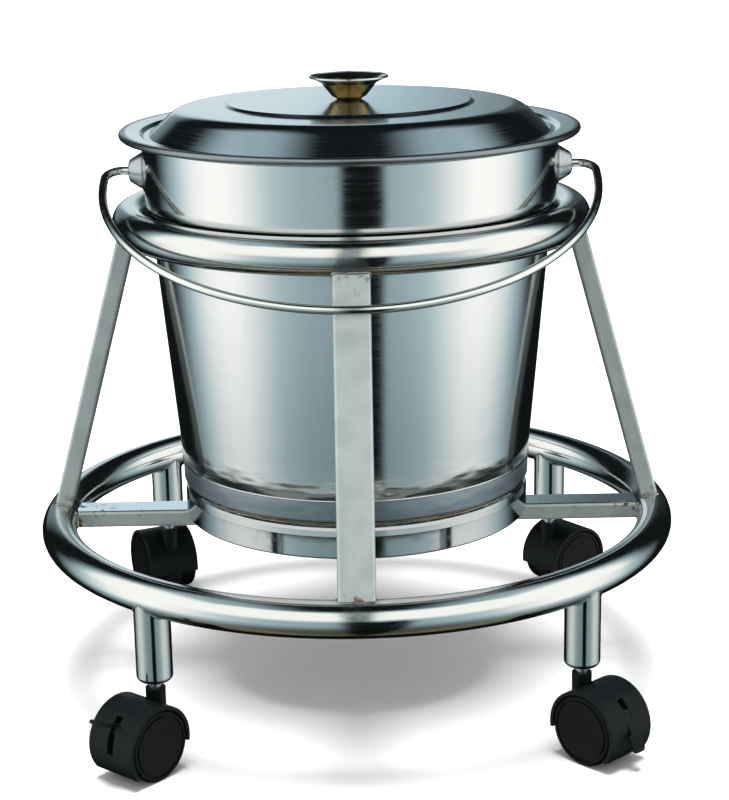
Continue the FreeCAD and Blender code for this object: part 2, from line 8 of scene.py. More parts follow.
# %% Load the frame
import bpy
import math
import numpy as np
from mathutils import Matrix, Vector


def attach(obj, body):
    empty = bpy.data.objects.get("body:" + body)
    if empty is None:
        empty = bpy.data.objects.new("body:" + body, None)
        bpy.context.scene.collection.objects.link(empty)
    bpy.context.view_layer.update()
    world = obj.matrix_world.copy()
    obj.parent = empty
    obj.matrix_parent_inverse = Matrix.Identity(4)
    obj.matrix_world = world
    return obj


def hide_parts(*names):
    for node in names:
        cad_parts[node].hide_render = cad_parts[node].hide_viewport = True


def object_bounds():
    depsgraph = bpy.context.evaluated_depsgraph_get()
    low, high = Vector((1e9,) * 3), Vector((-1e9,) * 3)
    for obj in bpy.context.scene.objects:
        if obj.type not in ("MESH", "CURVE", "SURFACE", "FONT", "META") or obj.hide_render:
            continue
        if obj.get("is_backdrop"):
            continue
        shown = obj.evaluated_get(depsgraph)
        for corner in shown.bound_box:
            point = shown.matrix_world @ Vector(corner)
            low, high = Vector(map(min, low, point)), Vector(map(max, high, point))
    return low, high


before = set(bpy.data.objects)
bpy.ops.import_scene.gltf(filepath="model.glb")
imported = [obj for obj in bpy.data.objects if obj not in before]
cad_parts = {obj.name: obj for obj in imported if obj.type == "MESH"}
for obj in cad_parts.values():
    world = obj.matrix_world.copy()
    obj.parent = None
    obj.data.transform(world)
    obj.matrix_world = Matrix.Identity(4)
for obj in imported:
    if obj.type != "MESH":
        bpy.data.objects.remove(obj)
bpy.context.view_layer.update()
scene = bpy.context.scene
MM = 0.001

# %% [markdown]
# ## One way to make every surface
# A spun pail, a bent tube and a weld bead are each a grid of points: one parameter runs
# along a profile or a path, and the other goes round. Numpy works out the whole grid at
# once. The normals come from the same formula as the points, so a wide flat next to a tiny
# round is shaded flat, as on real sheet, and no subdivision is spent on it.


# %% A mesh from grids of points
def surface(name, grids, material, closed_rows=False):
    """Mesh of grids whose columns close into a loop. Quads join neighbours, points that lie
    together become one, and a quad that loses a side at a pole becomes a triangle. A grid
    is its points, its normals and, if it has them, the distances to the nearest weld."""
    quads, count = [], 0
    for points, normals, *marks in grids:
        rows, columns = points.shape[:2]
        i, j = np.indices((rows if closed_rows else rows - 1, columns))
        up, on = (i + 1) % rows, (j + 1) % columns
        four = np.stack([i * columns + j, i * columns + on, up * columns + on,
                         up * columns + j], -1).reshape(-1, 4)
        flat, facing = points.reshape(-1, 3), normals.reshape(-1, 3)
        slant = np.cross(flat[four[:, 2]] - flat[four[:, 0]], flat[four[:, 3]] - flat[four[:, 1]])
        if (slant * facing[four].mean(axis=1)).sum() < 0:
            four = four[:, ::-1]
        quads.append(four + count)
        count += rows * columns
    quads = np.concatenate(quads)
    flat = np.concatenate([g[0].reshape(-1, 3) for g in grids])
    facing = np.concatenate([g[1].reshape(-1, 3) for g in grids])
    _, first, same = np.unique(np.round(flat * 1e7).astype(np.int64), axis=0,
                               return_index=True, return_inverse=True)
    corners = same.reshape(-1)[quads]
    kept = corners != np.roll(corners, -1, axis=1)
    whole = kept.sum(axis=1) > 2
    corners, kept, facing = corners[whole], kept[whole], facing[quads[whole]]
    sides = kept.sum(axis=1)
    mesh = bpy.data.meshes.new(name)
    mesh.vertices.add(len(first))
    mesh.vertices.foreach_set("co", flat[first].ravel())
    mesh.loops.add(int(sides.sum()))
    mesh.loops.foreach_set("vertex_index", corners[kept])
    mesh.polygons.add(len(sides))
    mesh.polygons.foreach_set("loop_start", np.concatenate([[0], np.cumsum(sides)[:-1]]))
    mesh.update(calc_edges=True)
    mesh.polygons.foreach_set("use_smooth", np.ones(len(sides), bool))
    mesh.normals_split_custom_set(facing[kept])
    if len(grids[0]) > 2:
        marks = np.concatenate([g[2].ravel() for g in grids])
        mesh.attributes.new("weld_mm", "FLOAT", "POINT").data.foreach_set("value", marks[first])
    mesh.materials.append(material)
    piece = bpy.data.objects.new(name, mesh)
    scene.collection.objects.link(piece)
    print(name, "triangles", int((sides - 2).sum()))
    return piece


def mount(piece, body, slot, *nodes):
    """The piece rides on a body and stands for the nodes, if any. The slot is not used."""
    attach(piece, body)
    if nodes:
        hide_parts(*nodes)


# %% Profiles and spun grids
def unit(v):
    """Vectors divided by their own lengths."""
    return v / np.linalg.norm(v, axis=-1, keepdims=True)


def profile(corners, steps=7):
    """Points and right-hand normals along corners (radius, height, bend) in mm. Each inner
    corner becomes an arc: its centre plus the bend times a normal that turns evenly from
    one side's normal to the other's. A bend of 0 leaves one sharp point with many normals."""
    corners = np.array(corners, float)
    p, bend = corners[:, :2], corners[1:-1, 2:]
    along = unit(np.diff(p, axis=0))
    side = along[:, ::-1] * [1, -1]
    before, after = along[:-1], along[1:]
    turn = np.arctan2(before[:, 0] * after[:, 1] - before[:, 1] * after[:, 0],
                      (before * after).sum(1))[:, None]
    centre = p[1:-1] - before * bend * np.tan(abs(turn) / 2) - np.sign(turn) * bend * side[:-1]
    a = np.arctan2(side[:-1, 1], side[:-1, 0])[:, None] + turn * np.linspace(0, 1, steps)
    normals = np.stack([np.cos(a), np.sin(a)], -1)
    points = centre[:, None] + (np.sign(turn) * bend)[:, None] * normals
    return (np.concatenate([p[:1], points.reshape(-1, 2), p[-1:]]),
            np.concatenate([side[:1], normals.reshape(-1, 2), side[-1:]]))


def arc(centre, radius, start, end, steps=25):
    """Part of a circle in a profile, by angle in degrees: centre plus radius times normal."""
    a = np.radians(np.linspace(start, end, steps))
    normals = np.stack([np.cos(a), np.sin(a)], -1)
    return np.array(centre) + radius * normals, normals


def behind(line, thickness):
    """The other face of a sheet: the profile run backwards, a thickness behind itself."""
    points, normals = line
    return (points - thickness * normals)[::-1], -normals[::-1]


def joined(*lines):
    """Several lines as one: their points end to end, and their normals likewise."""
    return np.concatenate([p for p, n in lines]), np.concatenate([n for p, n in lines])


def spun(line, base=(0, 0, 0), axis=(0, 0, 1), turns=256):
    """Grid of a profile turned about an axis: the base, plus the height along the axis, plus
    the radius times a direction that goes round it."""
    points, normals = line
    axis = unit(np.array(axis, float))
    across = unit(np.cross(axis, [0, 1, 0] if abs(axis[1]) < 0.9 else [1, 0, 0]))
    t = np.linspace(0, 2 * np.pi, turns, endpoint=False)[:, None]
    spokes = np.cos(t) * across + np.sin(t) * np.cross(axis, across)
    grid = points[:, :1, None] * spokes + points[:, 1:, None] * axis
    facing = normals[:, :1, None] * spokes + normals[:, 1:, None] * axis
    return (np.array(base) + grid) * MM, facing


# %% [markdown]
# ## The camera
# The bucket is seen with a long lens from a little above the lid, as in a catalogue. The
# camera's place, pitch and lens set how open the rings' ellipses look and how far the wheels
# spread. It leans by one degree, as a hand-set tripod does.

# %% Camera
FOCAL_PX, LONG_SIDE_PX = 1987.67, 800
camera = bpy.data.objects.new("camera", bpy.data.cameras.new("camera"))
scene.collection.objects.link(camera)
scene.camera = camera
SENSOR_MM = 36.0
camera.data.sensor_fit, camera.data.sensor_width = "AUTO", SENSOR_MM
camera.data.lens = FOCAL_PX * SENSOR_MM / LONG_SIDE_PX
camera.data.clip_start, camera.data.clip_end = 0.1, 60.0
PITCH, LEAN = 0.2689, -0.0179                       # radians
EYE_MM = np.array([7.21, -1425.84, 601.97])
ahead = np.array([0, math.cos(PITCH), -math.sin(PITCH)])
level = np.array([1.0, 0, 0])
over = np.cross(level, ahead)
right = math.cos(LEAN) * level + math.sin(LEAN) * over
top = math.cos(LEAN) * over - math.sin(LEAN) * level
stand_point = np.eye(4)
stand_point[:3] = np.stack([right, top, -ahead, EYE_MM * MM], 1)
camera.matrix_world = stand_point.T.tolist()
print("lens in mm", round(camera.data.lens, 2))

# %% [markdown]
# ## Colours and nodes
# Colours are written as hex numbers, as a paint chart gives them, and one function turns
# them to the linear values that light is reckoned in. One more function adds any node with
# its settings and whatever goes into its sockets, so a material reads as a list of steps. A
# range takes a value, two limits and what they become. A noise takes a place, one over the
# size of its blots, and how much detail it has.


# %% Colour and node helpers
def linear(code):
    """sRGB hex to linear light: straight near black, and a power of 2.4 above that."""
    s = np.array([int(code[i:i + 2], 16) for i in (1, 3, 5)]) / 255
    return [*np.where(s <= 0.04045, s / 12.92, ((s + 0.055) / 1.055) ** 2.4), 1.0]


def add(tree, kind, inputs=(), output=None, **settings):
    """A node of a kind, and one of its outputs: the named one, or else the first in use.
    Inputs go into the sockets in use in their order, or by name. Each is a number, a hex
    colour or another node's output."""
    node = tree.nodes.new("ShaderNode" + kind)
    for key, value in settings.items():
        setattr(node, key, value)
    if isinstance(inputs, dict):
        filled = [(node.inputs[key], value) for key, value in inputs.items()]
    else:
        filled = zip([socket for socket in node.inputs if socket.enabled], inputs)
    for socket, value in filled:
        if isinstance(value, bpy.types.NodeSocket):
            tree.links.new(value, socket)
        else:
            socket.default_value = linear(value) if isinstance(value, str) else value
    if output:
        return node.outputs[output]
    return next((socket for socket in node.outputs if socket.enabled), None)


def started(name, colour, rough, metallic=0.0):
    """A new material with its plain values set, its node tree and its shader's sockets."""
    material = bpy.data.materials.new(name)
    material.use_nodes = True
    shader = material.node_tree.nodes["Principled BSDF"].inputs
    shader["Base Color"].default_value = linear(colour)
    shader["Roughness"].default_value = rough
    shader["Metallic"].default_value = metallic
    print("material", name)
    return material, material.node_tree, shader


EASED = {"interpolation_type": "SMOOTHSTEP"}      # a range that starts and ends softly


# %% [markdown]
# ## The stage
# Polished steel has hardly a colour of its own: it shows the room. Reflections see this room
# as a pattern of directions, painted on the world. Two large soft boxes stand left and right
# and leave a narrow black gap ahead. Above them hang more boxes, brightest in front and open
# overhead. The back is dark but for a lit wall low in its middle, brighter on its left, and
# the floor is dim and warm. The page itself is plain white, and one high lamp, which
# reflections don't see, lays a soft shadow on it.

# %% Soft boxes
scene.view_settings.view_transform = "Standard"
world = bpy.data.worlds.new("studio")
scene.world = world
world.use_nodes = True
sky = world.node_tree
sky.nodes.clear()


def times(tree, *values):
    """Product of two or more values."""
    result = values[0]
    for value in values[1:]:
        result = add(tree, "Math", (result, value), operation="MULTIPLY")
    return result


aim = add(sky, "SeparateXYZ", [add(sky, "TexCoord", output="Generated")]).node.outputs
aside = add(sky, "Math", [aim["X"]], operation="ABSOLUTE")
bearing = add(sky, "Math", (aim["X"], times(sky, aim["Y"], -1.0)), operation="ARCTAN2")
around = add(sky, "Math", [bearing], operation="ABSOLUTE")
ramp = add(sky, "ValToRGB", [times(sky, around, 1 / math.pi)])
elements = ramp.node.color_ramp.elements
# light of the low boxes by degrees from ahead
LOBE = {0: 0.40, 30: 0.52, 45: 0.64, 58: 0.84, 72: 1.0, 84: 1.0, 96: 0.88, 106: 0.70,
        116: 0.44, 125: 0.14, 132: 0.0, 160: 0.0, 180: 0.05}
for degrees in list(LOBE)[1:-1]:
    elements.new(degrees / 180)
for element, (degrees, share) in zip(elements, LOBE.items()):
    element.position, element.color = degrees / 180, (share, share, share, 1)
print("stops of the low boxes", len(elements))

# %% How bright each direction is
LOW_LIGHT, FRONT_LIGHT, SIDE_LIGHTS, WALL_LIGHT, GLOOM = 1.55, 1.5, (0.72, 0.8), 1.0, 0.011
STRIPE_BEARING, STRIPE_HALF = 0.113, (0.15, 0.26)       # radians: its middle and soft edge
off_stripe = add(sky, "Math", (bearing, STRIPE_BEARING), operation="SUBTRACT")
off_stripe = add(sky, "Math", [off_stripe], operation="ABSOLUTE")
low_boxes = times(sky, ramp, LOW_LIGHT, add(sky, "MapRange", (off_stripe, *STRIPE_HALF), **EASED),
                  add(sky, "MapRange", (aim["Z"], -0.85, -0.25, 0.25, 1.0), **EASED))
inner_side = add(sky, "MapRange", (aside, 0.15, 0.45, 0, SIDE_LIGHTS[0]), **EASED)
outer_side = add(sky, "MapRange", (aside, 0.48, 0.70, 0, SIDE_LIGHTS[1]), **EASED)
sides = times(sky, add(sky, "Math", (inner_side, outer_side), operation="ADD"),
              add(sky, "MapRange", (aim["Y"], 0.22, 0.60, 1, 0), **EASED))
front = times(sky, add(sky, "MapRange", (aim["Y"], -0.28, -0.08, FRONT_LIGHT, 0), **EASED),
              add(sky, "MapRange", (aim["Z"], 0.80, 0.95, 1, 0), **EASED),
              add(sky, "MapRange", (aside, 0.03, 0.12, 0.25, 1), **EASED))
high_boxes = add(sky, "Math", (sides, front), operation="MAXIMUM")
upward = add(sky, "MapRange", (aim["Z"], -0.05, 0.30), **EASED)
boxes = add(sky, "Mix", (upward, low_boxes, high_boxes))
wall = times(sky, add(sky, "MapRange", (aim["Y"], 0.80, 0.93), **EASED),
             add(sky, "MapRange", (aim["Z"], -0.03, 0.03), **EASED),
             add(sky, "MapRange", (aim["Z"], 0.30, 0.48, 1, 0), **EASED),
             add(sky, "MapRange", (aim["X"], -0.05, 0.15, WALL_LIGHT, 0.12), **EASED),
             add(sky, "MapRange", (aside, 0.20, 0.32, 1, 0.35), **EASED))
room = add(sky, "Math", (boxes, wall), operation="MAXIMUM")
room = add(sky, "Math", (room, GLOOM), operation="MAXIMUM")
print("steps to the brightness", len(sky.nodes))

# %% What colour each direction is
glare = add(sky, "MapRange", (room, 0.7, 1.5), **EASED)
cool = add(sky, "Mix", (glare, "#D0ECF4", "#FFFEFC"), data_type="RGBA")
off_floor = add(sky, "MapRange", (aim["Z"], -0.95, -0.6), **EASED)
tint = add(sky, "Mix", (off_floor, "#C2BC9C", cool), data_type="RGBA")
SOFT_LIGHT, PAGE_LIGHT = 0.7, 1.05      # what matt surfaces and the camera see
rays = add(sky, "LightPath").node.outputs
strength = add(sky, "Mix", (rays["Is Glossy Ray"], SOFT_LIGHT, room))
shown = add(sky, "Mix", (rays["Is Camera Ray"], strength, PAGE_LIGHT))
hue = add(sky, "Mix", (rays["Is Glossy Ray"], "#FFFFFF", tint), data_type="RGBA")
add(sky, "OutputWorld", [add(sky, "Background", (hue, shown))])
print("studio steps", len(sky.nodes))

# %% Floor and lamp
paper, tree, shader = started("studio_paper", "#F6F6F6", 0.9)
shader["Specular IOR Level"].default_value = 0.0
page = bpy.data.meshes.new("studio_floor")
FAR = 10.0
page.from_pydata([(-FAR, -FAR, 0), (FAR, -FAR, 0), (FAR, FAR, 0), (-FAR, FAR, 0)], [],
                 [(0, 1, 2, 3)])
page.materials.append(paper)
floor = bpy.data.objects.new("studio_floor", page)
scene.collection.objects.link(floor)
floor.visible_glossy = False
floor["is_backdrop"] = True

lamp = bpy.data.objects.new("top_lamp", bpy.data.lights.new("top_lamp", "SUN"))
LAMP_POWER, LAMP_SPREAD, LAMP_TILT = 5.0, 26, 5
lamp.data.energy, lamp.data.angle = LAMP_POWER, math.radians(LAMP_SPREAD)
lamp.rotation_euler = (math.radians(LAMP_TILT), 0, 0)
lamp.visible_glossy = False
scene.collection.objects.link(lamp)
print("lamp", lamp.data.energy, "W/m2, angle", round(math.degrees(lamp.data.angle)), "degrees")

# %% [markdown]
# ## Spun stainless sheet
# The pail is spun from cold-rolled stainless sheet and buffed round and round. The eye sees a
# bright, slightly bluish mirror with fine level lines, blurred a little by them, and slow
# waves where the sheet was pressed over the former. Buffing lines are about 0.05 mm apart,
# too fine for a picture of this size, so they are drawn about 1 mm apart. The belt above the
# foot is rubbed with a coarser grit and stays darker and duller. A thin straw line of heat
# runs under it, and just above it the sheet is a little dented from kicks.


# %% Material of the pail
def lines_in(tree, vector, spacing_mm, squeeze, detail=3.0):
    """Noise squeezed along some axes, which draws it out into lines along the others."""
    stretched = add(tree, "Mapping", {"Vector": vector, "Scale": squeeze})
    return add(tree, "TexNoise", (stretched, 1 / (spacing_mm * MM), detail))


def bumped(tree, shader, *layers):
    """Bumps one on another: each layer is a height and how deep it is, in mm."""
    normal = None
    for height, depth in layers:
        inputs = {"Height": height, "Distance": depth * MM, "Strength": 1.0}
        if normal:
            inputs["Normal"] = normal
        normal = add(tree, "Bump", inputs)
    tree.links.new(normal, shader["Normal"])


FOOT_Z = 129.45
BELT_LOW, BELT_TOP = 27.4, 43.0


def between(tree, length, start, full, still, end):
    """1 where a length lies from full to still, and 0 before start and past end, all in mm:
    the product of a rising range and a falling one."""
    rise = add(tree, "MapRange", (length, start * MM, full * MM), **EASED)
    fall = add(tree, "MapRange", (length, still * MM, end * MM, 1, 0), **EASED)
    return times(tree, rise, fall)


pail_steel, tree, shader = started("spun_stainless_sheet", "#CCCECD", 0.18, 1.0)
at = add(tree, "TexCoord", output="Object")
high = add(tree, "SeparateXYZ", [at], "Z")
buff = lines_in(tree, at, 1.0, (0.03, 0.03, 1.0))
waves = lines_in(tree, at, 34.0, (1.0, 1.0, 1.6), 1.0)
belt_from, belt_to = FOOT_Z + BELT_LOW, FOOT_Z + BELT_TOP
belt = between(tree, high, belt_from - 0.4, belt_from, belt_to - 1.6, belt_to - 1.2)
gloss = add(tree, "MapRange", (buff, 0.3, 0.7, 0.08, 0.15), **EASED)
tree.links.new(add(tree, "Mix", (belt, gloss, 0.36)), shader["Roughness"])
# Painted shade: the sheet's colour darkens from high on the side down to the belt, standing in
# for the shaded floor that the lower body reflects.
painted_shade_fading_up = add(tree, "MapRange", (high, belt_to * MM, (FOOT_Z + 200) * MM), **EASED)
sheet = add(tree, "Mix", (painted_shade_fading_up, "#B9BCBC", "#CDCFCE"), data_type="RGBA")
hot = add(tree, "MapRange", (high, (belt_from - 3.5) * MM, (belt_from - 0.5) * MM, 1, 0), **EASED)
sheet = add(tree, "Mix", (hot, sheet, "#A58A66"), data_type="RGBA")
sheet = add(tree, "Mix", (belt, sheet, "#98A3AB"), data_type="RGBA")
tree.links.new(sheet, shader["Base Color"])
dents = lines_in(tree, at, 26.0, (1.0, 1.0, 2.6), 1.0)
over_belt = add(tree, "MapRange", (high, (belt_to + 2) * MM, (belt_to + 26) * MM, 1, 0), **EASED)
dents = times(tree, dents, over_belt)
bumped(tree, shader, (waves, 0.10), (dents, 0.5), (buff, 0.0008))

# %% [markdown]
# ## The pail
# One sheet makes floor, spigot, belt, tapered body, step, neck and rolled rim. Its section is
# a chain of straight runs and small rounds, so a profile turned about the axis is the exact
# way to make it. The inside is the same profile a sheet's thickness behind.

# %% Pail
FOOT_TOP, STEP_LOW, STEP_TOP, RIM = 24.2, 228.0, 232.5, 279.7
FOOT_R, SPIGOT_R, BELT_R, BODY_R, NECK_R, RIM_NECK_R = 127.5, 124.6, 128.6, 145.25, 148.0, 149.3
BEAD_R, PAIL_SHEET, SHEET_TURNS = 2.5, 1.0, 320
outside = profile([
    (0, FOOT_TOP - 8.2, 0),
    (SPIGOT_R, FOOT_TOP - 8.2, 7.0),
    (SPIGOT_R, FOOT_TOP + 1.6, 1.0),
    (BELT_R - 0.3, FOOT_TOP + 3.2, 2.0),
    (BELT_R, BELT_TOP - 1.2, 0.2),
    (BELT_R + 0.5, BELT_TOP - 0.6, 0.3),
    (BELT_R, BELT_TOP, 0.2),
    (BODY_R, STEP_LOW, 4.0),
    (NECK_R, STEP_TOP, 2.5),
    (RIM_NECK_R, RIM - 1.5, 0),
])
rolled = arc((RIM_NECK_R + 2.0, RIM), BEAD_R, -143, 170)
pail_line = joined(outside, rolled, behind(outside, PAIL_SHEET))
pail = surface("pail_spun", [spun(pail_line, (0, 0, FOOT_Z), turns=SHEET_TURNS)], pail_steel)
mount(pail, "bucket", "bucket_sheet", "bucket_shell")

# %% [markdown]
# ## The foot ring
# A pressed ring grips the pail's spigot and carries it on the cross bars. Its round shoulder
# is the brightest line low on the bucket. It is a sheet too, so both faces are made.

# %% Foot ring
foot_steel, tree, shader = started("pressed_stainless_foot", "#A8ACAC", 0.16, 1.0)
at = add(tree, "TexCoord", output="Object")
buff = lines_in(tree, at, 1.0, (0.03, 0.03, 1.0))
scuffs = add(tree, "TexNoise", (at, 1 / (9 * MM), 6.0))
gloss = add(tree, "MapRange", (scuffs, 0.45, 0.75, 0.10, 0.20), **EASED)
tree.links.new(gloss, shader["Roughness"])
bumped(tree, shader, (scuffs, 0.002), (buff, 0.0015))
FOOT_SHEET = 1.2
skirt = profile([
    (FOOT_R - 5, 0, 0),
    (FOOT_R, 0, 1.8),
    (FOOT_R, 16.5, 0.8),
    (FOOT_R - 0.9, 20.5, 3.0),
    (FOOT_R - 1.7, FOOT_TOP - 1.85, 1.5),
    (FOOT_R - 1.7, FOOT_TOP, 0),
])
skirt = joined(skirt, behind(skirt, FOOT_SHEET))
foot = surface("foot_ring_pressed", [spun(skirt, (0, 0, FOOT_Z), turns=SHEET_TURNS)],
               foot_steel, closed_rows=True)
mount(foot, "bucket", "foot_sheet", "foot_skirt")

# %% [markdown]
# ## The lid
# The lid is pressed in one blow and then turned bright on a lathe, which leaves hair-fine
# rings round its middle. They are drawn about 1 mm apart here. Their height depends only on
# the distance from the axis, so the pattern is noise read along the radius. The hem misses
# the lathe and stays darker and duller. A raised panel, a domed wall, a trough that sits in
# the pail's neck and a rolled edge follow one profile.

# %% Material of the lid
def from_axis(tree, place):
    """Distance from the bucket's axis: the length of a place with its height left out."""
    level_place = add(tree, "CombineXYZ", (place["X"], place["Y"], 0.0))
    return add(tree, "VectorMath", [level_place], operation="LENGTH")


LID_R = 165.0
lid_steel, tree, shader = started("turned_stainless_lid", "#C9CDD0", 0.14, 1.0)
at = add(tree, "TexCoord", output="Object")
radius = from_axis(tree, add(tree, "SeparateXYZ", [at]).node.outputs)
rings = add(tree, "TexNoise", (radius, 1 / (1.1 * MM), 4.0), noise_dimensions="1D")
waves = add(tree, "TexNoise", (at, 1 / (55 * MM), 1.0))
hem = add(tree, "MapRange", (radius, (LID_R - 5.5) * MM, (LID_R - 4.0) * MM), **EASED)
gloss = add(tree, "MapRange", (rings, 0.3, 0.7, 0.07, 0.17), **EASED)
tree.links.new(add(tree, "Mix", (hem, gloss, 0.3)), shader["Roughness"])
sheet = add(tree, "Mix", (hem, "#C9CDD0", "#84898C"), data_type="RGBA")
tree.links.new(sheet, shader["Base Color"])
bumped(tree, shader, (waves, 0.05), (rings, 0.003))

# %% Lid
FLANGE_TOP, PANEL_TOP = 283.3, 303.0
TROUGH_R, LID_SHEET = RIM_NECK_R - 2.2, 0.8
WALL_R, EDGE_R, WALL_TOP = TROUGH_R - 3.6, LID_R - BEAD_R, FLANGE_TOP + 17.2
above = profile([
    (EDGE_R, FLANGE_TOP + 1.6, 0),
    (TROUGH_R + 3.0, FLANGE_TOP, 3.0),
    (TROUGH_R, FLANGE_TOP - 2.4, 2.2),
    (WALL_R, FLANGE_TOP - 2.4, 2.2),
    (WALL_R - 20.5, WALL_TOP - 1.0, 20.0),
    (89.5, WALL_TOP, 1.2),
    (86.5, PANEL_TOP - 0.7, 1.2),
    (25.0, PANEL_TOP, 40.0),
    (0, PANEL_TOP, 0),
], steps=12)
edge = arc((EDGE_R, FLANGE_TOP + 1.6 - BEAD_R), BEAD_R, -160, 90)
lid_line = joined(edge, above, behind(above, LID_SHEET))
lid = surface("lid_pressed", [spun(lid_line, (0, 0, FOOT_Z), turns=SHEET_TURNS)], lid_steel,
              closed_rows=True)
mount(lid, "lid", "lid_sheet", "lid_shell")

# %% [markdown]
# ## The knob
# The knob is a small spun funnel with a rolled rim, screwed to the lid through its floor. Its
# cone has taken a straw colour, as polished steel does when it is buffed hot, and the rim is
# worn back to silver. Height tells the two apart.

# %% Knob
KNOB_Z = FOOT_Z + PANEL_TOP
knob_steel, tree, shader = started("buffed_straw_tinted_steel", "#B9A77A", 0.16, 1.0)
at = add(tree, "TexCoord", output="Object")
high = add(tree, "SeparateXYZ", [at], "Z")
buff = lines_in(tree, at, 0.8, (0.05, 0.05, 1.0))
rim = add(tree, "MapRange", (high, (KNOB_Z + 13.2) * MM, (KNOB_Z + 14.6) * MM), **EASED)
tint = add(tree, "Mix", (rim, "#A8986E", "#C9CCCB"), data_type="RGBA")
tree.links.new(tint, shader["Base Color"])
tree.links.new(add(tree, "MapRange", (buff, 0.3, 0.7, 0.10, 0.24), **EASED), shader["Roughness"])
bumped(tree, shader, (buff, 0.006))
KNOB_R, KNOB_SHEET = 27.6, 1.0
funnel = profile([(2.7, 0, 0), (8.5, 0, 2.0), (12.5, 2.4, 3.0), (20.0, 11.6, 5.0),
                  (KNOB_R, 15.5, 0)])
knob_rim = arc((KNOB_R, 16.0), 0.9, -110, 160, 16)
knob_line = joined(funnel, knob_rim, behind(funnel, KNOB_SHEET))
knob = surface("knob_pressed", [spun(knob_line, (0, 0, KNOB_Z), turns=160)], knob_steel,
               closed_rows=True)
mount(knob, "lid", "knob_sheet", "lid_knob")

# %% [markdown]
# ## Polished tube and its welds
# The rings are bent from polished round tube. The eye sees long unbroken highlights, with
# faint draw marks along the tube. Wherever a bar or leg is welded on, heat and the grinder
# have left a dull blue-grey patch with a straw edge. Each point of the mesh carries its
# distance to the nearest weld, and the finish reads that.

# %% Material of the tubes
TUBE_R = 12.7
LOWER_R, LOWER_Z = 222.3, 123.0
UPPER_R, UPPER_Z = 159.8, 349.45
LEG_BOTTOM = 63.0
AZIMUTHS = {"front_left": 231.5, "front_right": 313.5, "back_right": 44.0, "back_left": 135.5}
SIDES = {"right": 0, "back": 90, "left": 180, "front": 270}


def spoke(angle):
    """Level direction out from the axis: the cosine and the sine of an angle in degrees."""
    return np.array([math.cos(math.radians(angle)), math.sin(math.radians(angle)), 0.0])


def tube_finish(name, colour, squeeze, patch_mm):
    """Polished tube: lines along it, and a dull tinted patch as far as patch_mm from a weld."""
    material, tree, shader = started(name, colour, 0.14, 1.0)
    at = add(tree, "TexCoord", output="Object")
    draw = lines_in(tree, at, 1.0, squeeze)
    cloud = add(tree, "TexNoise", (at, 1 / (9 * MM), 5.0))
    near = add(tree, "Attribute", output="Fac", attribute_name="weld_mm")
    ragged = add(tree, "Math", (cloud, patch_mm * 0.9, near), operation="MULTIPLY_ADD")
    dull = add(tree, "MapRange", (ragged, patch_mm * 1.1, patch_mm * 1.6, 1, 0), **EASED)
    straw = add(tree, "MapRange", (ragged, patch_mm * 1.3, patch_mm * 2.1, 1, 0), **EASED)
    colours = add(tree, "Mix", (straw, colour, "#BDB8AB"), data_type="RGBA")
    colours = add(tree, "Mix", (dull, colours, "#8C9498"), data_type="RGBA")
    tree.links.new(colours, shader["Base Color"])
    gloss = add(tree, "MapRange", (draw, 0.3, 0.7, 0.07, 0.15), **EASED)
    tree.links.new(add(tree, "Mix", (dull, gloss, 0.30)), shader["Roughness"])
    bumped(tree, shader, (times(tree, cloud, dull), 0.12), (draw, 0.004))
    return material


ring_steel = tube_finish("polished_stainless_tube", "#CBCDCB", (0.2, 0.2, 1.0), 13)
leg_steel = tube_finish("polished_stainless_leg", "#A6ABA9", (1.0, 1.0, 0.05), 5)


# %% Rings
def to_welds(points, centres):
    """Distance in mm from each point to the nearest of some places: the least length of the
    vectors between them."""
    gaps = points[..., None, :] / MM - np.array(centres)
    return np.linalg.norm(gaps, axis=-1).min(axis=-1)


def ring(centre_r, z, welds):
    """Round tube as a grid: a circle of the tube's radius turned about the bucket's axis."""
    points, normals = arc((centre_r, z), TUBE_R, 0, 360, 49)
    points, normals = spun((points[:-1], normals[:-1]), turns=512)
    return points, normals, to_welds(points, welds)


# the hottest places: the bars' ends on the rings, and the tops of the legs
UP = np.array([0, 0, 1.0])
lower_welds = [spoke(a) * (LOWER_R - 3) + UP * (LOWER_Z + 7) for a in SIDES.values()]
lower_welds += [spoke(a) * LOWER_R + UP * (LOWER_Z - 18) for a in AZIMUTHS.values()]
upper_welds = [spoke(a) * (UPPER_R + 8) + UP * (UPPER_Z - 6) for a in SIDES.values()]
for name, r, z, welds in (("lower_ring", LOWER_R, LOWER_Z, lower_welds),
                          ("upper_ring", UPPER_R, UPPER_Z, upper_welds)):
    made = surface(name + "_tube", [ring(r, z, welds)], ring_steel, closed_rows=True)
    mount(made, "stand", "ring_tube", name)

# %% [markdown]
# ## Legs
# Four short tubes hang under the lower ring, spun in at their ends to hold the castors. The
# top edge of each is trimmed to the ring's round underside, so the last row of its grid takes
# its height from the ring's circle.

